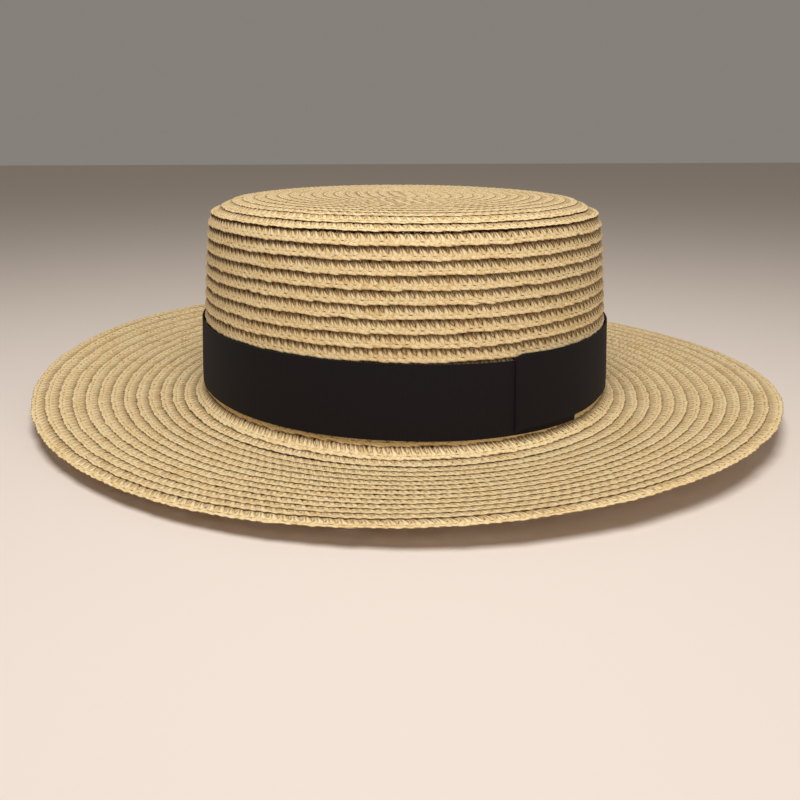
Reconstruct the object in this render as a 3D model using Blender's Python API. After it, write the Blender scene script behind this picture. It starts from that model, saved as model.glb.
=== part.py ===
"""Straw boater hat: a crown and a brim of sewn straw braid, and a ribbon band round the crown.

Metres, +Z up. The hat stands on the flat ring at the foot of its crown, which touches z = 0.
The wearer's front is towards -Y and the wearer's left towards +X.
"""

import math

import bmesh
import bpy
import numpy as np

# Head opening and straw
OPENING_LENGTH = 0.196  # front to back, inside the crown
OPENING_WIDTH = 0.166  # side to side, inside the crown
STRAW = 0.0020  # wall of overlapped braid
BRAID_ROW = 0.0047  # width of braid that shows in each row
LIP = 0.0006  # step where one row of braid lies over the next

# Crown
CROWN_HEIGHT = 0.0810  # from the table to the middle of the tip
TIP_INSET = 0.0148  # how far the tip's rim lies inside the crown's foot
TIP_DROP = 0.0016  # how far the tip's rim lies under its middle
TIP_EASE = 8  # power of the curve from the flat tip down to its rim
SHOULDER_INSET = 0.0062  # how far the shoulder's lower edge lies inside the crown's foot
SHOULDER_DROP = 0.0040  # from the tip's rim down to the shoulder's lower edge
SHOULDER_BULGE = 0.0003  # roundness of the shoulder
SHOULDER_ROWS = 2
INNER_SHOULDER_DROP = 0.6  # wall thicknesses from the shoulder's lower edge down to its corner inside
INNER_RIM_INSET = 0.3  # wall thicknesses from the tip's rim in to its corner inside
INNER_TIP_SHARES = (0.7, 0.3)  # sections of the tip's inside, as shares of the crown's half width

# Brim
BRIM_WIDTH = 0.0656
BRIM_LIFT = 0.0079  # mean height of the outer edge's underside over the table
BRIM_CURL = 1.4  # power of the curve from the flat ring up to the edge
FLAT_RING = 0.0100  # reach of the part of the brim that lies flat on the table
BEND_HEIGHT = 0.0052  # where the crown's side starts to turn into the brim
BEND_REACH = 0.0043  # how far out the turn ends
BEND_CREST = 0.0004  # height of the turn's end over the flat rows
BEND_BELLY = 0.35  # how far out the turn's middle lies, as a share of its reach
HEEL_START = 0.6  # inner edge of the flat ring, as a share of the turn's reach
HEEL_IN = 0.25  # corner between flat ring and collar, inside: wall thicknesses in from the crown's foot
HEEL_UP = 0.5  # and wall thicknesses up from the table
SEAT_HEIGHT = 0.0100  # where crown meets brim, behind the ribbon

# Ribbon band
RIBBON_WIDTH = 0.0260
RIBBON_FOOT = 0.0074  # height of its lower edge over the table
RIBBON_THICKNESS = 0.0010
RIBBON_FOLD_AT = 18.5  # bearing of the folded end that lies on top
RIBBON_CUT_AT = 38.5  # bearing of the cut end under it
RIBBON_RAMP = 15.0  # degrees over which the upper layer comes down beside the cut end

# Clearances
JOINT_GAP = 0.0003  # between crown and brim
RIBBON_GAP = 0.0004  # between ribbon and straw, and between the ribbon's two layers

# Roundness
SIDES = 48  # facets round the hat
SHORTEST_FACET = 0.25  # shortest piece of a facet left at an end of the ribbon, as a share of it

# Warp of the brim: each wave's height as a share of BRIM_LIFT, highest at its bearing
BRIM_WAVES = [
    {"waves_round": 1, "height_share": 0.194, "bearing": 236.0},
    {"waves_round": 2, "height_share": 0.409, "bearing": 225.0},
]

# Lean of the crown's side: height as a share of the way from the seat to the shoulder's lower edge,
# and how far the side lies in there as a share of SHOULDER_INSET
CROWN_LEAN = [
    {"up": 0.00, "inset_share": 0.00},
    {"up": 0.42, "inset_share": 0.23},
    {"up": 0.78, "inset_share": 0.54},
    {"up": 0.92, "inset_share": 0.72},
    {"up": 1.00, "inset_share": 1.00},
]

# Run of the ribbon round the crown, from its folded end to its cut end:
# how far along the strip, and how far above its usual line as a share of its width
RIBBON_RUN = [
    {"along": 0.00, "raised_share": 0.065},
    {"along": 0.06, "raised_share": 0.020},
    {"along": 0.15, "raised_share": 0.000},
    {"along": 0.87, "raised_share": 0.000},
    {"along": 0.95, "raised_share": -0.035},
    {"along": 1.00, "raised_share": -0.055},
]

# Underside of the brim: sections between the flat ring and the edge, as shares of that width
UNDERSIDE_SHARES = (1.0, 0.86, 0.72, 0.57, 0.42, 0.26)

STRAW_COLOUR = (0.66, 0.48, 0.24, 1.0)
STRAW_ROUGHNESS = 0.62
RIBBON_COLOUR = (0.019, 0.014, 0.014, 1.0)
RIBBON_ROUGHNESS = 0.78

# Outer half width of the crown's foot, and how much longer than wide each half of the oval is
CROWN_RADIUS = OPENING_WIDTH / 2 + STRAW
OVAL_EXTRA = (OPENING_LENGTH - OPENING_WIDTH) / 2
SHOULDER_HEIGHT = CROWN_HEIGHT - TIP_DROP - SHOULDER_DROP


def oval_point(reach, bearing, height):
    """A point of the oval that lies a given reach outside the crown's foot. Bearing 0 is the front, 90 the left."""
    half_width = CROWN_RADIUS + reach
    turn = math.radians(bearing)
    return (half_width * math.sin(turn), -(half_width + OVAL_EXTRA) * math.cos(turn), height)


def side_reach(height):
    """Reach of the crown's outer side at a height: none at the seat, leaning in towards the shoulder."""
    up = (height - SEAT_HEIGHT) / (SHOULDER_HEIGHT - SEAT_HEIGHT)
    share = np.interp(up, [r["up"] for r in CROWN_LEAN], [r["inset_share"] for r in CROWN_LEAN])
    return -SHOULDER_INSET * float(share)


def tip_height(reach):
    """Height of the tip over the table: flat in the middle, easing down to its rim."""
    outward = max(0.0, (CROWN_RADIUS + reach) / (CROWN_RADIUS - TIP_INSET))
    return CROWN_HEIGHT - TIP_DROP * outward**TIP_EASE


def rows_in(length):
    """The number of braid rows that fill a length."""
    return max(1, round(length / BRAID_ROW))


def braid_rows(lips):
    """Sections of overlapping rows. Each runs from under the lip before it to its own lip, which lies on the next."""
    sections = []
    for start, end in zip(lips, lips[1:]):
        run = np.subtract(end, start)
        outward = np.array((-run[1], run[0])) / np.hypot(*run)
        sections.append(tuple(start - outward * LIP))
        sections.append(tuple(end))
    return sections


def tip_lips():
    reaches = np.linspace(-CROWN_RADIUS, -TIP_INSET, rows_in(CROWN_RADIUS - TIP_INSET) + 1)
    return [(float(reach), tip_height(reach)) for reach in reaches]


def shoulder_lips():
    """The tip's rim, the lips down the shoulder and its lower edge, on a slightly rounded slope."""
    lips = []
    for row in range(SHOULDER_ROWS + 1):
        share = row / SHOULDER_ROWS
        reach = -TIP_INSET + (TIP_INSET - SHOULDER_INSET) * share
        bulge = SHOULDER_BULGE * 4 * share * (1 - share)
        lips.append((reach, tip_height(-TIP_INSET) - SHOULDER_DROP * share + bulge))
    return lips


def side_lips():
    heights = np.linspace(SHOULDER_HEIGHT, SEAT_HEIGHT, rows_in(SHOULDER_HEIGHT - SEAT_HEIGHT) + 1)
    return [(side_reach(height), float(height)) for height in heights]


def crown_outside():
    """Sections (reach, height) down the outside of the crown, from the middle of the tip to the seat."""
    return braid_rows(tip_lips())[1:] + braid_rows(shoulder_lips()) + braid_rows(side_lips())


def crown_inside():
    """Sections up the inside of the crown, one wall thickness in from the outside."""
    span = SHOULDER_HEIGHT - SEAT_HEIGHT
    side = [(-STRAW - SHOULDER_INSET * r["inset_share"], SEAT_HEIGHT + span * r["up"]) for r in CROWN_LEAN[:-1]]
    rim = tip_height(-TIP_INSET) - STRAW
    corner = (-SHOULDER_INSET - STRAW, SHOULDER_HEIGHT - STRAW * INNER_SHOULDER_DROP)
    reaches = [-CROWN_RADIUS * (1 - share) for share in INNER_TIP_SHARES]
    tip = [(reach, tip_height(reach) - STRAW) for reach in reaches]
    return side + [corner, (-TIP_INSET - STRAW * INNER_RIM_INSET, rim)] + tip


def brim_top():
    """Sections from the seat down the collar, round the turn and out over the flat rows to the edge."""
    collar_top = SEAT_HEIGHT - JOINT_GAP
    turn_end = (BEND_REACH, STRAW + BEND_CREST)
    turn_middle = (BEND_REACH * BEND_BELLY, (BEND_HEIGHT + turn_end[1]) / 2 - LIP)
    rows = rows_in(BRIM_WIDTH - BEND_REACH)
    row = (BRIM_WIDTH - BEND_REACH) / rows
    sections = [(0.0, collar_top), (0.0, BEND_HEIGHT), (-LIP / 2, BEND_HEIGHT - LIP), turn_middle, turn_end]
    for number in range(rows):
        sections.append((BEND_REACH + row * number, STRAW - LIP))
        sections.append((BEND_REACH + row * (number + 1), STRAW))
    sections[-1] = (BRIM_WIDTH, STRAW - LIP)
    return sections


def brim_underside():
    """Sections back from the edge under the brim, over the flat ring and up inside the collar."""
    curved = BRIM_WIDTH - FLAT_RING
    sections = [(FLAT_RING + curved * share, 0.0) for share in UNDERSIDE_SHARES]
    sections += [
        (FLAT_RING, 0.0),
        (BEND_REACH * HEEL_START, 0.0),
        (-STRAW * HEEL_IN, STRAW * HEEL_UP),
        (-STRAW, BEND_HEIGHT - LIP),
        (-STRAW, SEAT_HEIGHT - JOINT_GAP),
    ]
    return sections


def brim_rise(point, reach):
    """How far the warped brim stands above its flat ring at a point."""
    if reach <= FLAT_RING:
        return 0.0
    bearing = math.atan2(point[0], -point[1])
    lift = BRIM_LIFT
    for wave in BRIM_WAVES:
        swing = math.cos(wave["waves_round"] * (bearing - math.radians(wave["bearing"])))
        lift += BRIM_LIFT * wave["height_share"] * swing
    return lift * ((reach - FLAT_RING) / (BRIM_WIDTH - FLAT_RING)) ** BRIM_CURL


def add_ring(bm, reach, height, rise=None):
    """One oval of vertices, from the front round by the left. Returns them in order."""
    ring = []
    for number in range(SIDES):
        place = oval_point(reach, 360.0 * number / SIDES, height)
        lifted = place[2] + (rise(place, reach) if rise else 0.0)
        ring.append(bm.verts.new((place[0], place[1], lifted)))
    return ring


def bridge(bm, first, second):
    """A band of faces between two ovals."""
    for number in range(SIDES):
        bm.faces.new((first[number - 1], first[number], second[number], second[number - 1]))


def cap(bm, ring):
    """Closes an oval with strips that run across it from side to side."""
    half = SIDES // 2
    for number in range(half):
        right = [ring[number], ring[number + 1]]
        left = [ring[-number - 1], ring[-number % SIDES]]
        corners = right + left
        bm.faces.new([v for place, v in enumerate(corners) if v not in corners[:place]])


def new_object(name, bm, material, sharp_angle=30.0):
    """Turns a bmesh into a smooth-shaded object with its own material."""
    bmesh.ops.recalc_face_normals(bm, faces=bm.faces)
    mesh = bpy.data.meshes.new(name)
    bm.to_mesh(mesh)
    bm.free()
    mesh.shade_smooth()
    mesh.set_sharp_from_angle(angle=math.radians(sharp_angle))
    mesh.materials.append(material)
    piece = bpy.data.objects.new(name, mesh)
    bpy.context.scene.collection.objects.link(piece)
    return piece


def make_material(name, colour, roughness):
    material = bpy.data.materials.new(name)
    material.use_nodes = True
    shader = material.node_tree.nodes["Principled BSDF"]
    shader.inputs["Base Color"].default_value = colour
    shader.inputs["Roughness"].default_value = roughness
    shader.inputs["Metallic"].default_value = 0.0
    return material


def make_crown(material):
    """Hollow crown: flat tip, sloping shoulder and side, open at the foot."""
    bm = bmesh.new()
    rings = [add_ring(bm, reach, height) for reach, height in crown_outside() + crown_inside()]
    for first, second in zip(rings, rings[1:]):
        bridge(bm, first, second)
    cap(bm, rings[0])
    cap(bm, rings[-1])
    return new_object("crown", bm, material)


def make_brim(material):
    """Brim with its collar: a flat ring at the foot of the crown, rising in a warped dish to the edge."""
    bm = bmesh.new()
    rings = [add_ring(bm, reach, height, brim_rise) for reach, height in brim_top() + brim_underside()]
    for first, second in zip(rings, rings[1:] + rings[:1]):
        bridge(bm, first, second)
    return new_object("brim", bm, material)


def ribbon_bearings():
    """Bearings along the strip: its two ends, and the hat's own facets between them."""
    facet = 360.0 / SIDES
    first = math.floor(RIBBON_FOLD_AT / facet) + 1
    last = math.ceil((RIBBON_CUT_AT + 360.0) / facet) - 1
    corners = [facet * number for number in range(first, last + 1)]
    start = RIBBON_FOLD_AT + facet * SHORTEST_FACET
    end = RIBBON_CUT_AT + 360.0 - facet * SHORTEST_FACET
    inner = [bearing for bearing in corners if start < bearing < end]
    return [RIBBON_FOLD_AT] + inner + [RIBBON_CUT_AT + 360.0]


def make_ribbon(material):
    """Flat strip once round the crown, its folded end lying over its cut end."""
    length = RIBBON_CUT_AT + 360.0 - RIBBON_FOLD_AT
    over = RIBBON_THICKNESS + RIBBON_GAP
    facet = 360.0 / SIDES
    lap_end = RIBBON_CUT_AT + facet
    bm = bmesh.new()
    pairs = []
    for bearing in ribbon_bearings():
        along = (bearing - RIBBON_FOLD_AT) / length
        raised = np.interp(along, [r["along"] for r in RIBBON_RUN], [r["raised_share"] for r in RIBBON_RUN])
        foot = RIBBON_FOOT + RIBBON_WIDTH * raised
        layer = RIBBON_GAP + over * float(np.clip((lap_end + RIBBON_RAMP - bearing) / RIBBON_RAMP, 0.0, 1.0))
        low = bm.verts.new(oval_point(side_reach(foot) + layer, bearing, foot))
        top = foot + RIBBON_WIDTH
        high = bm.verts.new(oval_point(side_reach(top) + layer, bearing, top))
        pairs.append((low, high))
    for (low, high), (next_low, next_high) in zip(pairs, pairs[1:]):
        bm.faces.new((low, next_low, next_high, high))
    outward = bm.faces[:]
    ribbon = new_ribbon_object(bm, outward, material)
    thickness = ribbon.modifiers.new("thickness", "SOLIDIFY")
    thickness.thickness = RIBBON_THICKNESS
    thickness.offset = 1.0
    thickness.use_even_offset = True
    return ribbon


def new_ribbon_object(bm, faces, material):
    """The strip's faces point away from the crown, so that its thickness is added outside it."""
    for face in faces:
        face.normal_update()
        centre = face.calc_center_median()
        if face.normal.x * centre.x + face.normal.y * centre.y < 0:
            face.normal_flip()
    mesh = bpy.data.meshes.new("ribbon_band")
    bm.to_mesh(mesh)
    bm.free()
    mesh.shade_smooth()
    mesh.materials.append(material)
    piece = bpy.data.objects.new("ribbon_band", mesh)
    bpy.context.scene.collection.objects.link(piece)
    return piece


def main():
    for old in list(bpy.data.objects):
        bpy.data.objects.remove(old)
    make_crown(make_material("straw_braid_crown", STRAW_COLOUR, STRAW_ROUGHNESS))
    make_brim(make_material("straw_braid_brim", STRAW_COLOUR, STRAW_ROUGHNESS))
    make_ribbon(make_material("grosgrain_ribbon", RIBBON_COLOUR, RIBBON_ROUGHNESS))


main()
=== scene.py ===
# Straw boater hat: plaited straw sewn in overlapping rows, and a grosgrain ribbon round the crown.
# Metres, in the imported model's own frame: the front is towards -Y, the wearer's left towards +X.
# A bearing runs round the hat from the front by the wearer's left, and a turn is one time round.
import math

import bpy
import numpy as np
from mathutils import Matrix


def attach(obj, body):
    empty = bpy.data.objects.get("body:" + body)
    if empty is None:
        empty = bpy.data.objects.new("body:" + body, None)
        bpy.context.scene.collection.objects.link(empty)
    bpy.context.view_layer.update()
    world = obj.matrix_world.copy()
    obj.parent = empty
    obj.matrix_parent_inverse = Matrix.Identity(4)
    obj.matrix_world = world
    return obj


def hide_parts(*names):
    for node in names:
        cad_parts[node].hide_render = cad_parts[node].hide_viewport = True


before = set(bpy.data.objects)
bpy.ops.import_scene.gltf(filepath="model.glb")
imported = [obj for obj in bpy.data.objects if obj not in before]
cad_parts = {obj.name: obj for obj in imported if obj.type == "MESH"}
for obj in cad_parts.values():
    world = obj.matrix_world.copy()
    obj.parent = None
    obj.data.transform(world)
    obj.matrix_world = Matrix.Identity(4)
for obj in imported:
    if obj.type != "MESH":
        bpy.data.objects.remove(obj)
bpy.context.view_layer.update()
mm = 0.001


# Camera, floor and light

cameraSettings = {
    "place": (-0.0443, -0.3678, 0.1042),
    "pitchDown": 17.0,  # degrees
    "turnRight": 6.7,  # degrees
    "lens": 38.97,  # millimetres, as the sensor's width
    "sensorWidth": 36.0,
    "nearest": 0.01,
}

studio = {
    "floorHalf": 3.0,
    "floor": "e3d6cb",
    "floorRoughness": 0.9,
    "air": "f0e8de",
    "airStrength": 0.27,
    "lampTarget": (0, 0, 0.03),
    "keyPlace": (-0.04, -0.27, 0.58),
    "keySize": 0.34,
    "keyPower": 3.45,
    "fillPlace": (0.60, -1.00, 0.45),
    "fillSize": 0.6,
    "fillPower": 1.2,
}


def linearColour(code):
    # sRGB hex to linear
    parts = [int(code[i:i + 2], 16) / 255 for i in (0, 2, 4)]
    linear = [p / 12.92 if p <= 0.04045 else ((p + 0.055) / 1.055) ** 2.4 for p in parts]
    return tuple(linear) + (1.0,)


def addCamera():
    data = bpy.data.cameras.new("photoCamera")
    data.lens = cameraSettings["lens"]
    data.sensor_width = cameraSettings["sensorWidth"]
    data.clip_start = cameraSettings["nearest"]
    camera = bpy.data.objects.new("photoCamera", data)
    camera.location = cameraSettings["place"]
    down = math.radians(90 - cameraSettings["pitchDown"])
    camera.rotation_euler = (down, 0, -math.radians(cameraSettings["turnRight"]))
    bpy.context.scene.collection.objects.link(camera)
    bpy.context.scene.camera = camera


def addLamp(name, place, size, power):
    data = bpy.data.lights.new(name, "AREA")
    data.shape = "DISK"
    data.size = size
    data.energy = power
    lamp = bpy.data.objects.new(name, data)
    lamp.location = place
    away = [place[axis] - studio["lampTarget"][axis] for axis in range(3)]
    flat = math.hypot(away[0], away[1])
    lamp.rotation_euler = (math.atan2(flat, away[2]), 0, math.atan2(away[0], -away[1]))
    bpy.context.scene.collection.objects.link(lamp)


def addNode(tree, kind, settings=None, links=None):
    node = tree.nodes.new(kind)
    for name, value in (settings or {}).items():
        if isinstance(name, str) and hasattr(node, name):
            setattr(node, name, value)
        else:
            node.inputs[name].default_value = value
    for socket, source in (links or {}).items():
        tree.links.new(source, node.inputs[socket])
    return node


def newMaterial(name):
    material = bpy.data.materials.new(name)
    material.use_nodes = True
    return material, material.node_tree, material.node_tree.nodes["Principled BSDF"]


def addStudio():
    bpy.ops.object.select_all(action="DESELECT")
    bpy.ops.mesh.primitive_plane_add(size=2 * studio["floorHalf"])
    floor = bpy.context.object
    floor.name = "studioFloor"
    material, _, shader = newMaterial("mattPaintedBoard")  # matt paint: even and pale, no gloss
    shader.inputs["Base Color"].default_value = linearColour(studio["floor"])
    shader.inputs["Roughness"].default_value = studio["floorRoughness"]
    floor.data.materials.append(material)
    world = bpy.data.worlds.new("studioAir")
    world.use_nodes = True
    air = world.node_tree.nodes["Background"]
    air.inputs["Color"].default_value = linearColour(studio["air"])
    air.inputs["Strength"].default_value = studio["airStrength"]
    bpy.context.scene.world = world
    addLamp("keyLamp", studio["keyPlace"], studio["keySize"], studio["keyPower"])
    addLamp("fillLamp", studio["fillPlace"], studio["fillSize"], studio["fillPower"])


bpy.context.scene.view_settings.view_transform = "Standard"
addCamera()
addStudio()
print("camera and studio ready")


# The hat's surface: row numbers run from the middle of the tip out and down to the brim's edge

hatForm = {
    "halfWidth": 85.0 * mm,  # of the crown's foot, outside
    "ovalExtra": 15.0 * mm,  # how much longer than wide each half of the oval is
    "tipHeight": 81.0 * mm,
    "tipInset": 14.8 * mm,  # from the crown's foot in to the tip's rim
    "tipDrop": 1.6 * mm,  # from the tip's middle down to its rim
    "tipEase": 8,  # power of that curve
    "shoulderInset": 6.2 * mm,
    "shoulderDrop": 4.0 * mm,
    "seatHeight": 10.0 * mm,  # where the crown meets the brim, behind the ribbon
    "bendHeight": 5.2 * mm,  # where the side starts to turn into the brim
    "bendReach": 4.3 * mm,
    "bendTop": 2.4 * mm,
    "brimReach": 65.6 * mm,
    "brimTop": 2.0 * mm,
    "flatReach": 10.0 * mm,  # the brim lies flat up to here
    "lift": 7.9 * mm,  # mean rise of the brim's edge
    "curl": 1.4,  # power of that rise
    "waves": ((1, 0.194, 236.0), (2, 0.409, 225.0)),  # warp: waves round, share of lift, bearing
    "leanUp": (0.0, 0.42, 0.78, 0.92, 1.0),  # the side's lean, from the seat to the shoulder
    "leanInset": (0.0, 0.23, 0.54, 0.72, 1.0),
    "tipRows": 15,
    "shoulderRows": 2,
    "sideRows": 14,
    "brimRows": 13,
    "roundUntil": 48.0 * mm,  # rows with a smaller half width are slots with round ends
    "slotShape": 4.0,
    "ovalShape": 0.02,
    "pastMiddle": 0.3,  # how many rows may run over the tip's middle line
    "middleRows": 3,  # the outside of rows so near that line is taken to be the upper side
}


def smooth(share):
    share = np.clip(share, 0.0, 1.0)
    return share * share * (3 - 2 * share)


def sideReach(height):
    foot = hatForm["seatHeight"]
    shoulder = hatForm["tipHeight"] - hatForm["tipDrop"] - hatForm["shoulderDrop"]
    up = (height - foot) / (shoulder - foot)
    return -hatForm["shoulderInset"] * np.interp(up, hatForm["leanUp"], hatForm["leanInset"])


def rowStations():
    # reach from the crown's foot, and height, of each row's lower lip
    form = hatForm
    reach = np.linspace(-form["halfWidth"], -form["tipInset"], form["tipRows"] + 1)
    outward = (form["halfWidth"] + reach) / (form["halfWidth"] - form["tipInset"])
    height = form["tipHeight"] - form["tipDrop"] * outward ** form["tipEase"]
    share = np.arange(1, form["shoulderRows"] + 1) / form["shoulderRows"]
    shoulder = -form["tipInset"] + (form["tipInset"] - form["shoulderInset"]) * share
    reach = np.append(reach, shoulder)
    height = np.append(height, form["tipHeight"] - form["tipDrop"] - form["shoulderDrop"] * share)
    side = np.linspace(height[-1], form["seatHeight"], form["sideRows"] + 1)[1:]
    reach = np.append(reach, sideReach(side))
    height = np.append(height, side)
    brim = np.linspace(form["bendReach"], form["brimReach"], form["brimRows"] + 1)[1:]
    reach = np.concatenate([reach, [0.0, form["bendReach"]], brim])
    brimHeight = np.full(len(brim), form["brimTop"])
    height = np.concatenate([height, [form["bendHeight"], form["bendTop"]], brimHeight])
    return reach, height


stationReach, stationHeight = rowStations()
lastRow = len(stationReach) - 1
seatRow = hatForm["tipRows"] + hatForm["shoulderRows"] + hatForm["sideRows"]


def brimRise(reach, bearing):
    form = hatForm
    lift = np.full_like(bearing, form["lift"])
    for number, share, highest in form["waves"]:
        lift += form["lift"] * share * np.cos(number * (bearing - math.radians(highest)))
    out = np.clip((reach - form["flatReach"]) / (form["brimReach"] - form["flatReach"]), 0.0, None)
    return lift * out ** form["curl"]


def ovalPlace(halfWidth, bearing):
    # an ellipse further out, and a slot with round ends in the middle of the tip
    inner = 1 - smooth(halfWidth / hatForm["roundUntil"])
    slot = hatForm["slotShape"] * inner + hatForm["ovalShape"]
    along = np.tanh(slot * np.cos(bearing)) / np.tanh(slot)
    return halfWidth * np.sin(bearing), -halfWidth * np.cos(bearing) - hatForm["ovalExtra"] * along


def surfacePoint(row, bearing):
    rows = np.arange(lastRow + 1)
    row = np.maximum(row, -hatForm["pastMiddle"])
    past = np.maximum(row - lastRow, 0.0) * (stationReach[-1] - stationReach[-2])
    past = past + np.minimum(row, 0.0) * (stationReach[1] - stationReach[0])
    reach = np.interp(row, rows, stationReach) + past
    x, y = ovalPlace(hatForm["halfWidth"] + reach, bearing)
    return np.stack([x, y, np.interp(row, rows, stationHeight) + brimRise(reach, bearing)], -1)


def placeOnHat(row, bearing, height):
    step = 0.25  # rows
    turn = 0.004  # radians
    outward = surfacePoint(row + step, bearing) - surfacePoint(row - step, bearing)
    onward = surfacePoint(row, bearing + turn) - surfacePoint(row, bearing - turn)
    normal = np.cross(outward, onward)
    normal /= np.maximum(np.linalg.norm(normal, axis=-1, keepdims=True), 1e-12)
    flipped = (row < hatForm["middleRows"]) & (normal[..., 2] < 0)
    normal *= np.where(flipped, -1.0, 1.0)[..., None]
    return surfacePoint(row, bearing) + normal * np.asarray(height)[..., None]


# The spiral: turn 1.0 starts at the front of the innermost row, and each turn gains a row at the back

braid = {
    "strands": 4,
    "period": 13.0 * mm,  # one swing of a strand, from the lip to the hidden edge and back
    "samples": 12,  # segments in a period
    "apart": 4,  # between the tubes before they are laid, in half widths
    "merge": 0.005,
    "amplitude": 2.25 * mm,
    "lipHalf": 0.50 * mm,  # half width of a strand where it turns at the lip
    "nearShare": 0.34,  # a strand's swing is a blend of two curves of these powers
    "nearPower": 1.5,
    "farPower": 4.0,
    "leastAway": 0.02,
    "turnBack": 0.99,  # past this share of its swing a strand runs straight
    "rowWidth": 4.68 * mm,  # what shows of each row
    "place": (-1.0, -0.60, -0.30, 0.0, 0.20, 0.50, 0.76, 0.93, 1.0),  # hidden edge to lip
    "halfWidth": tuple(w * mm for w in (1.40, 1.25, 1.10, 1.12, 1.14, 1.08, 0.88, 0.64, 0.52)),
    "crossing": (0.0, 0.25, 0.5, 0.75, 1.0),  # lip to hidden edge
    "over": (0.0, -0.22 * mm, 0.22 * mm, -0.22 * mm, 0.0),
    "overTilt": 0.15,  # flatter rows cross over and under less
    "halfThickness": 0.10 * mm,
    "lipThickness": 0.26 * mm,
    "lipFrom": 0.55,  # where a strand starts to thicken towards the lip
    "lipOver": 0.40,
    "lipTilt": 0.10,  # flatter rows thicken less
    "tableRows": (0, 16.2, 16.9, 17.6, 18.8, 30, 32.4, 34.2, 45),
    "tilt": (0.028, 0.028, 0.06, 0.115, 0.19, 0.19, 0.13, 0.048, 0.048),
    "topGap": tuple(g * mm for g in (0.22, 0.22, 0.35, 0.50, 0.60, 0.60, 0.50, 0.36, 0.36)),
    "gainFrom": 0.34,
    "gainTo": 0.66,
    "firstTurn": 0.56,
    "lastTurn": 0.62,  # past the last row's front
    "tableStep": 1 / 1440,  # turns
    "startTurns": 0.14,  # the first end sinks in over this length
    "startSink": 0.5 * mm,
    "taperFrom": 0.30,  # and the last end narrows and sinks in
    "taperTurns": 0.32,
    "taperNarrow": 0.8,
    "taperSink": 0.6 * mm,
    "roomShare": 1.4,  # the innermost rows are narrowed to about the room that they have
    "leastRow": 0.3,
    "footRows": (31.6, 32.6, 34.6, 35.6),  # hidden edges of these rows bear on the floor
    "footDrop": (0.0, 1.3 * mm, 1.3 * mm, 0.0),
    "footFrom": 4.4 * mm,
    "footOver": 1.8 * mm,
    "edgeDrop": 1.3 * mm,  # the brim's outermost row turns down towards its lip
    "wander": 0.17 * mm,
    "rowWander": 0.02,  # of a row's width
    "seed": 11,
}


def rowLip(turn):
    whole = np.floor(turn)
    share = turn - whole
    gain = smooth((share - braid["gainFrom"]) / (braid["gainTo"] - braid["gainFrom"]))
    return np.minimum(whole + gain, lastRow)


def byRow(turn, name):
    return np.interp(turn, braid["tableRows"], braid[name])


def edgeDrop(lip, inward):
    outermost = np.clip(lip - (lastRow - 1), 0.0, 1.0)
    return braid["edgeDrop"] * outermost * np.clip(1 - inward / braid["rowWidth"], 0.0, 1.0)


def lengthTable():
    turns = np.arange(braid["firstTurn"], lastRow + braid["lastTurn"], braid["tableStep"])
    points = surfacePoint(np.maximum(rowLip(turns) - 0.5, 0.5), turns * 2 * math.pi)
    steps = np.linalg.norm(np.diff(points, axis=0), axis=1)
    return turns, np.concatenate([[0.0], np.cumsum(steps)])


tableTurns, tableRun = lengthTable()
periodCount = round(tableRun[-1] / braid["period"])
period = tableRun[-1] / periodCount
print("braid", round(float(tableRun[-1]), 3), "m in", periodCount, "periods")


def wanderOf(seed, strand, along, knots):
    # a slow random drift, with so many knots in each period
    count = periodCount * knots
    draws = np.random.default_rng(braid["seed"] + seed)
    table = draws.normal(size=(braid["strands"], count + 3))
    place = np.clip(along * knots, 0, count)
    low = place.astype(int)
    blend = smooth(place - low)
    return table[strand, low] * (1 - blend) + table[strand, low + 1] * blend


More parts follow.
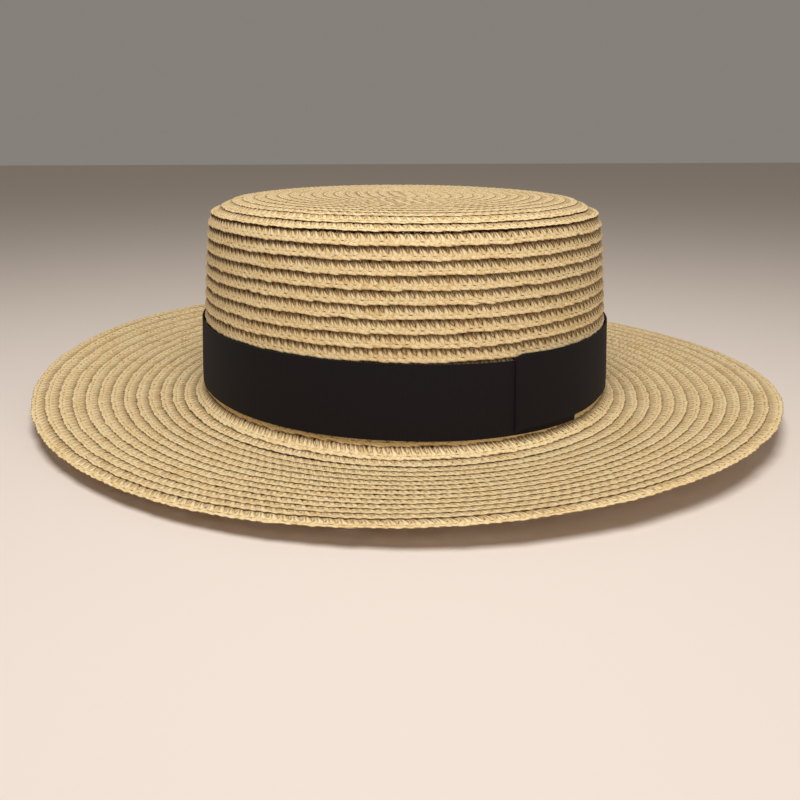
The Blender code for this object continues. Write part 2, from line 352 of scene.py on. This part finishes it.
def layBraid(strand, across, thick, along):
    # across and thick run from -1 to 1 over a strand's section; along counts periods from the start
    half = braid["amplitude"] + braid["lipHalf"]
    phase = (along + strand / braid["strands"] + 0.5) % 1.0
    swing = 2 * phase - 1  # 0 at the lip, 1 and -1 at the hidden edge
    away = np.abs(swing)
    amplitude = braid["amplitude"] + braid["wander"] * wanderOf(1, strand, along, 2)
    near = braid["nearShare"] * away ** braid["nearPower"]
    far = (1 - braid["nearShare"]) * away ** braid["farPower"]
    side = amplitude * (1 - 2 * (near + far))
    rate = braid["nearPower"] * near + braid["farPower"] * far
    slope = -amplitude * 4 * np.sign(swing) * rate / np.maximum(away, braid["leastAway"]) / period
    slope = np.where(away > braid["turnBack"], 0.0, slope)
    length = np.sqrt(1 + slope ** 2)
    width = np.interp(side / amplitude, braid["place"], braid["halfWidth"])
    run = along * period + slope * across * width / length
    run = run + braid["wander"] * wanderOf(2, strand, along, 2)
    inward = half - side + across * width / length

    turn = np.interp(run, tableRun, tableTurns)
    lip = rowLip(turn)
    tilt = byRow(turn, "tilt")
    start = 1 - smooth((turn - braid["firstTurn"]) / braid["startTurns"])
    taper = smooth((turn - lastRow - braid["taperFrom"]) / braid["taperTurns"])
    room = braid["roomShare"] * np.maximum(lip, braid["leastRow"]) * braid["rowWidth"] / (2 * half)
    inward = inward * (1 - braid["taperNarrow"] * taper) * np.minimum(1.0, room)

    over = np.sign(swing) * np.interp(away, braid["crossing"], braid["over"])
    lipShare = smooth((side / amplitude - braid["lipFrom"]) / braid["lipOver"])
    lipShare = lipShare * np.minimum(1.0, tilt / braid["lipTilt"])
    thicker = braid["lipThickness"] - braid["halfThickness"]
    thickness = braid["halfThickness"] + thicker * lipShare
    lift = over * np.minimum(1.0, tilt / braid["overTilt"]) + thick * thickness
    foot = np.interp(turn, braid["footRows"], braid["footDrop"])
    foot = foot * smooth((inward - braid["footFrom"]) / braid["footOver"])
    height = -byRow(turn, "topGap") - tilt * inward + lift - foot
    height = height - braid["taperSink"] * taper - braid["startSink"] * start
    height = height - edgeDrop(lip, inward)
    row = lip - inward / braid["rowWidth"] + braid["rowWander"] * wanderOf(3, 0, along, 1)
    return placeOnHat(row, turn * 2 * math.pi, height), run, inward, away, tilt


def repeatUpwards(piece, step, count, merge=None):
    repeats = piece.modifiers.new("repeats", "ARRAY")
    repeats.use_relative_offset = False
    repeats.use_constant_offset = True
    repeats.constant_offset_displace = (0, 0, step)
    repeats.count = count
    if merge:
        repeats.use_merge_vertices = True
        repeats.merge_threshold = merge
    bpy.ops.object.modifier_apply(modifier=repeats.name)


def straightStrands(name, periods):
    # four square tubes side by side, one period long in equal segments, repeated end to end
    bpy.ops.object.select_all(action="DESELECT")
    bpy.ops.mesh.primitive_circle_add(vertices=4, radius=1.0, fill_type="NOTHING")
    tubes = bpy.context.object
    tubes.name = name
    tubes.data.name = name
    segment = {"value": (0, 0, 1 / braid["samples"])}
    bpy.ops.object.mode_set(mode="EDIT")
    bpy.ops.mesh.select_all(action="SELECT")
    for _ in range(braid["samples"]):
        bpy.ops.mesh.extrude_region_move(TRANSFORM_OT_translate=segment)
    bpy.ops.mesh.select_all(action="SELECT")
    for _ in range(braid["strands"] - 1):
        bpy.ops.mesh.duplicate_move(TRANSFORM_OT_translate={"value": (braid["apart"], 0, 0)})
    bpy.ops.object.mode_set(mode="OBJECT")
    repeatUpwards(tubes, 1, periods, braid["merge"])
    bpy.ops.object.mode_set(mode="EDIT")
    bpy.ops.mesh.select_all(action="SELECT")
    bpy.ops.mesh.fill_holes(sides=4)
    bpy.ops.mesh.select_all(action="SELECT")
    bpy.ops.mesh.normals_make_consistent(inside=False)
    bpy.ops.object.mode_set(mode="OBJECT")
    return tubes


def readPoints(piece):
    points = np.empty(len(piece.data.vertices) * 3)
    piece.data.vertices.foreach_get("co", points)
    return points.reshape(-1, 3)


def writePoints(piece, points):
    flat = np.ascontiguousarray(points, dtype=np.float32).ravel()
    piece.data.vertices.foreach_set("co", flat)
    piece.data.update()


def writeMap(piece, name, u, v):
    corners = np.empty(len(piece.data.loops), dtype=np.int32)
    piece.data.loops.foreach_get("vertex_index", corners)
    layer = piece.data.uv_layers.get(name) or piece.data.uv_layers.new(name=name)
    flat = np.stack([u[corners], v[corners]], -1).astype(np.float32).ravel()
    layer.uv.foreach_set("vector", flat)


def writeValues(piece, name, values):
    attribute = piece.data.attributes.new(name, "FLOAT", "POINT")
    attribute.data.foreach_set("value", values.astype(np.float32))


# What the straw's material reads from each point: tone of the strand, and painted shade under a lip
# (depth) and at dark strand edges (edge)

braidMarks = {
    "tone": 0.5,
    "slowTone": 0.035,
    "quickTone": 0.03,
    "fullTilt": 0.19,  # rows this steep get the painted shade in full
    "steepFrom": 3.1 * mm,  # painted shade: on steep rows the braid is dark from here inwards
    "steepOver": 1.0 * mm,
    "underLip": 0.9,  # and on all rows right under the lip that covers them
    "underFrom": 3.8 * mm,
    "underOver": 0.5 * mm,
    "flatGaps": 0.30,  # painted shade in the gaps between strands, fainter on flat rows
    "steepGaps": 0.70,
    "gapsFrom": 2.3 * mm,
    "gapsOver": 0.7 * mm,
    "tickFrom": 0.08,  # painted shade: one edge of a strand is dark between these shares of its swing
    "tickRise": 0.08,
    "tickTo": 0.52,
    "tickFall": 0.12,
    "tickSide": -0.5,
    "tickDepth": 0.85,
    # painted rim shade that every strand gets
    "everywhere": 0.15,
    "mapShift": 40.0,  # millimetres from one strand's streaks to the next one's
    "smoothAngle": 60.0,
}


def makeBraid(name, first, last, node, material):
    marks = braidMarks
    piece = straightStrands(name, last - first)
    points = readPoints(piece)
    strand = np.rint(points[:, 0] / braid["apart"]).astype(int)
    across = points[:, 0] - braid["apart"] * strand
    along = points[:, 2] + first
    placed, run, inward, away, tilt = layBraid(strand, across, points[:, 1], along)
    writePoints(piece, placed)
    writeMap(piece, "braidMap", run / mm, inward / mm)
    writeMap(piece, "strandMap", along * period / mm + marks["mapShift"] * strand, across)
    tone = marks["tone"] + marks["slowTone"] * wanderOf(4, strand, along, 1)
    tone = tone + marks["quickTone"] * wanderOf(5, strand, along, 2)
    writeValues(piece, "tone", np.clip(tone, 0, 1))
    # painted shade: dark deep in steep rows and right under each covering lip
    steep = np.minimum(1.0, tilt / marks["fullTilt"])
    steepDepth = steep ** 2 * smooth((inward - marks["steepFrom"]) / marks["steepOver"])
    underLip = marks["underLip"] * smooth((inward - marks["underFrom"]) / marks["underOver"])
    writeValues(piece, "depth", np.maximum(steepDepth, underLip))
    # painted shade at strand rims: faint everywhere, more in the gaps near the hidden edge, and a
    # tick at one edge where loops meet
    gaps = marks["flatGaps"] + marks["steepGaps"] * steep
    gaps = gaps * smooth((inward - marks["gapsFrom"]) / marks["gapsOver"])
    ticks = smooth((away - marks["tickFrom"]) / marks["tickRise"])
    ticks = ticks * smooth((marks["tickTo"] - away) / marks["tickFall"])
    ticks = ticks * (across < marks["tickSide"])
    edge = marks["everywhere"] + gaps + marks["tickDepth"] * ticks
    writeValues(piece, "edge", np.clip(edge, 0, 1))
    bpy.ops.object.shade_smooth_by_angle(angle=math.radians(marks["smoothAngle"]))
    piece.data.materials.append(material)
    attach(piece, "root")
    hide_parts(node)
    print(name, len(piece.data.polygons), "faces")


# Paper straw: flat twisted paper tape, matt with a faint satin sheen, pale tan with painted brown
# shade in its recesses

strawLook = {
    "pale": "f3daa8",
    "paleAt": 1.14,
    "mid": "e3c187",
    "midAt": 0.90,
    "dark": "b99250",
    "darkAt": 0.66,
    # painted shade: the brown of shadowed gaps between strands and of the places under the lips
    "recess": "5a2e00",
    "recessMost": 0.88,
    "roughness": 0.58,
    "specular": 0.25,
    "streaks": (0.45, 5.0, 1.0),  # per millimetre along a strand, and per half width across it
    "streakDetail": 3.0,
    "streakRoughness": 0.6,
    "streakTone": 0.95,
    "streakBump": 0.05 * mm,
    "streakStrength": 0.35,
    "rimFrom": 0.46,  # painted shade: a strand darkens towards its edges, in half widths
    "rimTo": 0.80,
    "line": 1.42,  # painted shade of a stitch groove, a line of needle holes, in millimetres from the lip
    "lineFrom": 0.10,
    "lineTo": 0.34,
    "dot": 3.25,  # millimetres from hole to hole
    "dotTo": 0.9,
    "dotLeast": 0.30,
    "lineBreaks": 0.45,  # per millimetre: the line comes and goes
    "lineBreakDetail": 1.0,
    "lineBreakFrom": 0.38,
    "lineBreakTo": 0.62,
    "lineBreakLeast": 0.15,
    "stroke": 1.625,  # painted shade in the plait's fine gaps: millimetres between them, two to a strand
    "strokeFrom": 0.25,
    "strokeTo": 0.95,
    "strokeMiddle": 2.2,  # they slant away from this line, in millimetres from the lip
    "strokeSlant": 1.6,
    "strokeLip": 0.3,  # and deepen from here
    "strokeDeep": 3.4,
    "strokeAtLip": 0.25,
    "strokeLeast": 0.38,
}


def strawMaterial():
    look = strawLook
    material, tree, shader = newMaterial("plaitedPaperStraw")
    strandMap = addNode(tree, "ShaderNodeUVMap", {"uv_map": "strandMap"})
    braidMap = addNode(tree, "ShaderNodeUVMap", {"uv_map": "braidMap"})
    tone = addNode(tree, "ShaderNodeAttribute", {"attribute_name": "tone"})
    depth = addNode(tree, "ShaderNodeAttribute", {"attribute_name": "depth"})
    edge = addNode(tree, "ShaderNodeAttribute", {"attribute_name": "edge"})
    across = addNode(tree, "ShaderNodeSeparateXYZ", None, {"Vector": strandMap.outputs["UV"]})
    place = addNode(tree, "ShaderNodeSeparateXYZ", None, {"Vector": braidMap.outputs["UV"]})

    # colour of the paper: fibre streaks along each strand
    stretch = addNode(
        tree,
        "ShaderNodeMapping",
        {"Scale": look["streaks"]},
        {"Vector": strandMap.outputs["UV"]},
    )
    streaks = addNode(
        tree,
        "ShaderNodeTexNoise",
        {"Scale": 1.0, "Detail": look["streakDetail"], "Roughness": look["streakRoughness"]},
        {"Vector": stretch.outputs["Vector"]},
    )
    mixTone = addNode(
        tree,
        "ShaderNodeMath",
        {"operation": "MULTIPLY_ADD", 1: look["streakTone"]},
        {0: streaks.outputs["Fac"], 2: tone.outputs["Fac"]},
    )
    ramp = addNode(tree, "ShaderNodeValToRGB", None, {"Fac": mixTone.outputs["Value"]})
    ramp.color_ramp.elements[0].position = look["darkAt"]
    ramp.color_ramp.elements[0].color = linearColour(look["dark"])
    ramp.color_ramp.elements[1].position = look["paleAt"]
    ramp.color_ramp.elements[1].color = linearColour(look["pale"])
    middle = ramp.color_ramp.elements.new(look["midAt"])
    middle.color = linearColour(look["mid"])

    # painted shade at the rims of the strands
    side = addNode(tree, "ShaderNodeMath", {"operation": "ABSOLUTE"}, {0: across.outputs["Y"]})
    rim = addNode(
        tree,
        "ShaderNodeMapRange",
        {"From Min": look["rimFrom"], "From Max": look["rimTo"]},
        {"Value": side.outputs["Value"]},
    )
    rimShade = addNode(
        tree,
        "ShaderNodeMath",
        {"operation": "MULTIPLY"},
        {0: rim.outputs["Result"], 1: edge.outputs["Fac"]},
    )

    # painted shade of the stitch groove: a broken line of needle holes
    offLine = addNode(
        tree,
        "ShaderNodeMath",
        {"operation": "SUBTRACT", 1: look["line"]},
        {0: place.outputs["Y"]},
    )
    farLine = addNode(
        tree, "ShaderNodeMath", {"operation": "ABSOLUTE"}, {0: offLine.outputs["Value"]}
    )
    line = addNode(
        tree,
        "ShaderNodeMapRange",
        {"From Min": look["lineFrom"], "From Max": look["lineTo"], "To Min": 1.0, "To Max": 0.0},
        {"Value": farLine.outputs["Value"]},
    )
    dotPhase = addNode(
        tree,
        "ShaderNodeMath",
        {"operation": "MULTIPLY", 1: 2 * math.pi / look["dot"]},
        {0: place.outputs["X"]},
    )
    dotWave = addNode(
        tree, "ShaderNodeMath", {"operation": "SINE"}, {0: dotPhase.outputs["Value"]}
    )
    dots = addNode(
        tree,
        "ShaderNodeMapRange",
        {"From Min": 0.0, "From Max": look["dotTo"], "To Min": look["dotLeast"], "To Max": 1.0},
        {"Value": dotWave.outputs["Value"]},
    )
    uneven = addNode(
        tree,
        "ShaderNodeTexNoise",
        {"Scale": look["lineBreaks"], "Detail": look["lineBreakDetail"]},
        {"Vector": braidMap.outputs["UV"]},
    )
    faint = addNode(
        tree,
        "ShaderNodeMapRange",
        {"From Min": look["lineBreakFrom"], "From Max": look["lineBreakTo"], "To Min": look["lineBreakLeast"]},
        {"Value": uneven.outputs["Fac"]},
    )
    brokenLine = addNode(
        tree,
        "ShaderNodeMath",
        {"operation": "MULTIPLY"},
        {0: faint.outputs["Result"], 1: dots.outputs["Result"]},
    )
    lineShade = addNode(
        tree,
        "ShaderNodeMath",
        {"operation": "MULTIPLY"},
        {0: line.outputs["Result"], 1: brokenLine.outputs["Value"]},
    )
    shade = addNode(
        tree,
        "ShaderNodeMath",
        {"operation": "MAXIMUM"},
        {0: rimShade.outputs["Value"], 1: lineShade.outputs["Value"]},
    )

    # painted shade in the plait's fine slanting gaps, deeper towards the hidden edge
    fromMiddle = addNode(
        tree,
        "ShaderNodeMath",
        {"operation": "SUBTRACT", 1: look["strokeMiddle"]},
        {0: place.outputs["Y"]},
    )
    slanting = addNode(
        tree, "ShaderNodeMath", {"operation": "ABSOLUTE"}, {0: fromMiddle.outputs["Value"]}
    )
    slant = addNode(
        tree,
        "ShaderNodeMath",
        {"operation": "MULTIPLY", 1: look["strokeSlant"]},
        {0: slanting.outputs["Value"]},
    )
    strokePhase = addNode(
        tree,
        "ShaderNodeMath",
        {"operation": "MULTIPLY_ADD", 1: 2 * math.pi / look["stroke"]},
        {0: place.outputs["X"], 2: slant.outputs["Value"]},
    )
    strokeWave = addNode(
        tree, "ShaderNodeMath", {"operation": "SINE"}, {0: strokePhase.outputs["Value"]}
    )
    strokes = addNode(
        tree,
        "ShaderNodeMapRange",
        {"From Min": look["strokeFrom"], "From Max": look["strokeTo"]},
        {"Value": strokeWave.outputs["Value"]},
    )
    deeper = addNode(
        tree,
        "ShaderNodeMapRange",
        {
            "From Min": look["strokeLip"],
            "From Max": look["strokeDeep"],
            "To Min": look["strokeAtLip"],
        },
        {"Value": place.outputs["Y"]},
    )
    deepStrokes = addNode(
        tree,
        "ShaderNodeMath",
        {"operation": "MULTIPLY"},
        {0: strokes.outputs["Result"], 1: deeper.outputs["Result"]},
    )
    strength = addNode(
        tree, "ShaderNodeMapRange", {"To Min": look["strokeLeast"]}, {"Value": edge.outputs["Fac"]}
    )
    fineStrokes = addNode(
        tree,
        "ShaderNodeMath",
        {"operation": "MULTIPLY"},
        {0: deepStrokes.outputs["Value"], 1: strength.outputs["Result"]},
    )

    # the darkest of these painted shades decides how far a place turns to the shade brown
    shadeAll = addNode(
        tree,
        "ShaderNodeMath",
        {"operation": "MAXIMUM"},
        {0: shade.outputs["Value"], 1: fineStrokes.outputs["Value"]},
    )
    deep = addNode(
        tree,
        "ShaderNodeMath",
        {"operation": "MAXIMUM"},
        {0: shadeAll.outputs["Value"], 1: depth.outputs["Fac"]},
    )
    recess = addNode(
        tree, "ShaderNodeMapRange", {"To Max": look["recessMost"]}, {"Value": deep.outputs["Value"]}
    )
    colour = addNode(
        tree,
        "ShaderNodeMix",
        {"data_type": "RGBA", 7: linearColour(look["recess"])},
        {0: recess.outputs["Result"], 6: ramp.outputs["Color"]},
    )
    bump = addNode(
        tree,
        "ShaderNodeBump",
        {"Strength": look["streakStrength"], "Distance": look["streakBump"]},
        {"Height": streaks.outputs["Fac"]},
    )
    tree.links.new(colour.outputs[2], shader.inputs["Base Color"])
    tree.links.new(bump.outputs["Normal"], shader.inputs["Normal"])
    shader.inputs["Roughness"].default_value = look["roughness"]
    shader.inputs["Specular IOR Level"].default_value = look["specular"]
    return material


braidPieces = (  # each with its first and last turn, and the node that it replaces
    ("crown_tip_braid", braid["firstTurn"], 17.0, "crown"),
    ("crown_upper_braid", 17.0, 24.0, "crown"),
    ("crown_lower_braid", 24.0, 31.0, "crown"),
    ("brim_inner_braid", 31.0, 39.6, "brim"),
    ("brim_outer_braid", 39.6, lastRow + braid["lastTurn"], "brim"),
)


def periodAt(turn):
    return int(round(np.interp(turn, tableTurns, tableRun) / period))


straw = strawMaterial()
for pieceName, fromTurn, toTurn, nodeName in braidPieces:
    makeBraid(pieceName, periodAt(fromTurn), periodAt(toTurn), nodeName, straw)
print("braid laid")


# Stitches: thread that shows as a short bar near each row's lip, one after another

stitch = {
    "pitch": 5.5 * mm,
    "half": 1.05 * mm,
    "radius": 0.13 * mm,
    "shank": 0.7,  # share of a half bar that has its full thickness; its ends are points
    "apart": 4,
    "inward": 0.95 * mm,
    "up": 0.30 * mm,
    "bow": 0.22 * mm,  # how much lower a bar's ends lie than its middle
    "crownFrom": 1.3,  # the first turn that is sewn
    "colour": "f2e2b8",
    "shade": "b79a66",
    "twist": 2500.0,  # per metre
    "roughness": 0.5,
}


def makeStitches(name, fromTurn, toTurn, material):
    start = float(np.interp(fromTurn, tableTurns, tableRun))
    end = float(np.interp(toTurn, tableTurns, tableRun))
    count = int((end - start) / stitch["pitch"])
    bpy.ops.object.select_all(action="DESELECT")
    bpy.ops.mesh.primitive_cylinder_add(
        vertices=4, radius=1.0, depth=2 * stitch["shank"], end_fill_type="TRIFAN"
    )
    piece = bpy.context.object
    piece.name = name
    piece.data.name = name
    points = readPoints(piece)
    middle = np.hypot(points[:, 0], points[:, 1]) < 0.01
    points[middle, 2] *= 1 / stitch["shank"]
    writePoints(piece, points)
    repeatUpwards(piece, stitch["apart"], count)
    points = readPoints(piece)
    number = np.rint(points[:, 2] / stitch["apart"])
    along = points[:, 2] - stitch["apart"] * number
    run = start + (number + 0.5) * stitch["pitch"] + along * stitch["half"]
    inward = stitch["inward"] - points[:, 0] * stitch["radius"]
    turn = np.interp(run, tableRun, tableTurns)
    lip = rowLip(turn)
    bar = -byRow(turn, "topGap") - byRow(turn, "tilt") * stitch["inward"] + stitch["up"]
    bar = bar - stitch["bow"] * along ** 2 - edgeDrop(lip, stitch["inward"])
    height = bar + points[:, 1] * stitch["radius"]
    writePoints(piece, placeOnHat(lip - inward / braid["rowWidth"], turn * 2 * math.pi, height))
    piece.data.shade_smooth()
    piece.data.materials.append(material)
    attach(piece, "root")
    print(name, count, "stitches")


def threadMaterial():
    # Polyester thread, twisted: pale and a little shiny, with shade between its plies
    material, tree, shader = newMaterial("twistedPolyesterThread")
    place = addNode(tree, "ShaderNodeTexCoord")
    twist = addNode(
        tree, "ShaderNodeTexNoise", {"Scale": stitch["twist"]}, {"Vector": place.outputs["Object"]}
    )
    ramp = addNode(tree, "ShaderNodeValToRGB", None, {"Fac": twist.outputs["Fac"]})
    ramp.color_ramp.elements[0].color = linearColour(stitch["shade"])
    ramp.color_ramp.elements[1].color = linearColour(stitch["colour"])
    tree.links.new(ramp.outputs["Color"], shader.inputs["Base Color"])
    shader.inputs["Roughness"].default_value = stitch["roughness"]
    return material


thread = threadMaterial()
makeStitches("crown_stitches", stitch["crownFrom"], seatRow, thread)
makeStitches("brim_stitches", seatRow, lastRow, thread)
print("stitches laid")


# Ribbon band: one strip of grosgrain, its folded end over its cut end

ribbon = {
    "width": 26.0 * mm,
    "foot": 7.4 * mm,
    "thickness": 0.5 * mm,
    "foldAt": 18.5,  # bearings in degrees
    "cutAt": 38.5,
    "rampEnd": 54.0,
    "tuck": 7.0,
    "step": 0.5,
    "tuckPoints": 12,
    "foldPoints": 9,
    "under": 0.42 * mm,  # distance of each layer's middle from the straw
    "middle": 1.02 * mm,
    "over": 1.62 * mm,
    "cutRise": 0.1 * mm,
    "rib": 0.8 * mm,  # a coarse grosgrain's spacing, so that the ribs show
    "ribDepth": 0.05 * mm,
    "rows": 6,
    "smoothAngle": 50.0,
    "runAlong": (0.0, 0.004, 0.06, 0.15, 0.87, 0.95, 1.0),  # from the fold to the cut end
    "runRaised": (0.010, 0.042, 0.016, 0.0, 0.0, -0.040, -0.068),  # in widths
    "colour": "110e11",
    # painted highlight on the rib crests
    "ribCrestHighlight": "201b1f",
    "blotch": 6.0,  # per millimetre
    "blotchDetail": 2.0,
    "bump": 0.08 * mm,
    "bumpStrength": 0.5,
    "roughness": 0.8,
    "specular": 0.2,
    "sheen": 0.03,
    "sheenRoughness": 0.4,
}


def ribbonPath():
    # bearing and distance from the straw, from the end tucked under the fold to the cut end
    fold = ribbon["foldAt"]
    cut = ribbon["cutAt"]
    step = ribbon["step"]
    tuckBearing = np.linspace(fold + ribbon["tuck"], fold, ribbon["tuckPoints"])
    tuckLayer = np.full(ribbon["tuckPoints"], ribbon["middle"])
    half = (ribbon["over"] - ribbon["middle"]) / 2
    sweep = np.linspace(0, math.pi, ribbon["foldPoints"])[1:-1]
    reach = math.degrees(half / hatForm["halfWidth"])
    turnBearing = fold - reach * np.sin(sweep)
    turnLayer = ribbon["middle"] + half * (1 - np.cos(sweep))
    roundBearing = np.arange(fold, 360 + cut + step / 2, step)
    overCut = ribbon["middle"] + ribbon["cutRise"]
    roundLayer = np.interp(
        roundBearing, (fold, cut, ribbon["rampEnd"]), (ribbon["over"], overCut, ribbon["under"])
    )
    return (
        np.concatenate([tuckBearing, turnBearing, roundBearing]),
        np.concatenate([tuckLayer, turnLayer, roundLayer]),
    )


def makeRibbon(material):
    bearings, layers = ribbonPath()
    turn = np.radians(bearings)
    x, y = ovalPlace(np.full_like(turn, hatForm["halfWidth"]) + layers, turn)
    run = np.concatenate([[0.0], np.cumsum(np.hypot(np.diff(x), np.diff(y)))])
    length = float(run[-1])
    columns = 2 * int(length / ribbon["rib"])
    bpy.ops.object.select_all(action="DESELECT")
    bpy.ops.mesh.primitive_grid_add(
        x_subdivisions=columns, y_subdivisions=ribbon["rows"], size=2.0
    )
    piece = bpy.context.object
    piece.name = "ribbon"
    piece.data.name = "ribbon"
    points = readPoints(piece)
    share = (points[:, 0] + 1) / 2
    up = (points[:, 1] + 1) / 2
    place = share * length
    bearing = np.interp(place, run, bearings)
    layer = np.interp(place, run, layers)
    column = np.rint(share * columns).astype(int)
    layer = layer + ribbon["ribDepth"] * np.where(column % 2 == 0, 1.0, -1.0)
    span = 360 + ribbon["cutAt"] - ribbon["foldAt"]
    along = (bearing - ribbon["foldAt"]) / span
    raised = np.interp(along, ribbon["runAlong"], ribbon["runRaised"])
    height = ribbon["foot"] + ribbon["width"] * (raised + up)
    turn = np.radians(bearing)
    halfWidth = hatForm["halfWidth"] + sideReach(height)
    x, y = ovalPlace(halfWidth, turn)
    outwardX = (halfWidth + hatForm["ovalExtra"]) * np.sin(turn)
    outwardY = -halfWidth * np.cos(turn)
    size = np.hypot(outwardX, outwardY)
    placed = [x + layer * outwardX / size, y + layer * outwardY / size, height]
    writePoints(piece, np.stack(placed, -1))
    writeMap(piece, "clothMap", place / mm, up * ribbon["width"] / mm)
    bpy.ops.object.mode_set(mode="EDIT")
    bpy.ops.mesh.select_all(action="SELECT")
    bpy.ops.mesh.normals_make_consistent(inside=False)
    bpy.ops.object.mode_set(mode="OBJECT")
    body = piece.modifiers.new("body", "SOLIDIFY")
    body.thickness = ribbon["thickness"]
    body.offset = 0.0
    bpy.ops.object.modifier_apply(modifier=body.name)
    bpy.ops.object.shade_smooth_by_angle(angle=math.radians(ribbon["smoothAngle"]))
    piece.data.materials.append(material)
    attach(piece, "root")
    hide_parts("ribbon_band")
    print("ribbon", round(length, 4), "m long")


def grosgrainMaterial():
    # Viscose grosgrain: close round ribs across the strip, near black and warm, matt, with a painted
    # highlight on the rib crests broken up by random blotches
    material, tree, shader = newMaterial("wovenViscoseGrosgrain")
    cloth = addNode(tree, "ShaderNodeUVMap", {"uv_map": "clothMap"})
    parts = addNode(tree, "ShaderNodeSeparateXYZ", None, {"Vector": cloth.outputs["UV"]})
    phase = addNode(
        tree,
        "ShaderNodeMath",
        {"operation": "MULTIPLY", 1: math.pi / (ribbon["rib"] / mm)},
        {0: parts.outputs["X"]},
    )
    wave = addNode(tree, "ShaderNodeMath", {"operation": "COSINE"}, {0: phase.outputs["Value"]})
    ribs = addNode(tree, "ShaderNodeMath", {"operation": "ABSOLUTE"}, {0: wave.outputs["Value"]})
    noise = addNode(
        tree,
        "ShaderNodeTexNoise",
        {"Scale": ribbon["blotch"], "Detail": ribbon["blotchDetail"]},
        {"Vector": cloth.outputs["UV"]},
    )
    blend = addNode(
        tree,
        "ShaderNodeMath",
        {"operation": "MULTIPLY"},
        {0: ribs.outputs["Value"], 1: noise.outputs["Fac"]},
    )
    # painted highlight: the rib crests turn lighter, in random blotches
    colour = addNode(
        tree,
        "ShaderNodeMix",
        {
            "data_type": "RGBA",
            6: linearColour(ribbon["colour"]),
            7: linearColour(ribbon["ribCrestHighlight"]),
        },
        {0: blend.outputs["Value"]},
    )
    bump = addNode(
        tree,
        "ShaderNodeBump",
        {"Strength": ribbon["bumpStrength"], "Distance": ribbon["bump"]},
        {"Height": ribs.outputs["Value"]},
    )
    tree.links.new(colour.outputs[2], shader.inputs["Base Color"])
    tree.links.new(bump.outputs["Normal"], shader.inputs["Normal"])
    shader.inputs["Roughness"].default_value = ribbon["roughness"]
    shader.inputs["Specular IOR Level"].default_value = ribbon["specular"]
    shader.inputs["Sheen Weight"].default_value = ribbon["sheen"]
    shader.inputs["Sheen Roughness"].default_value = ribbon["sheenRoughness"]
    return material


makeRibbon(grosgrainMaterial())
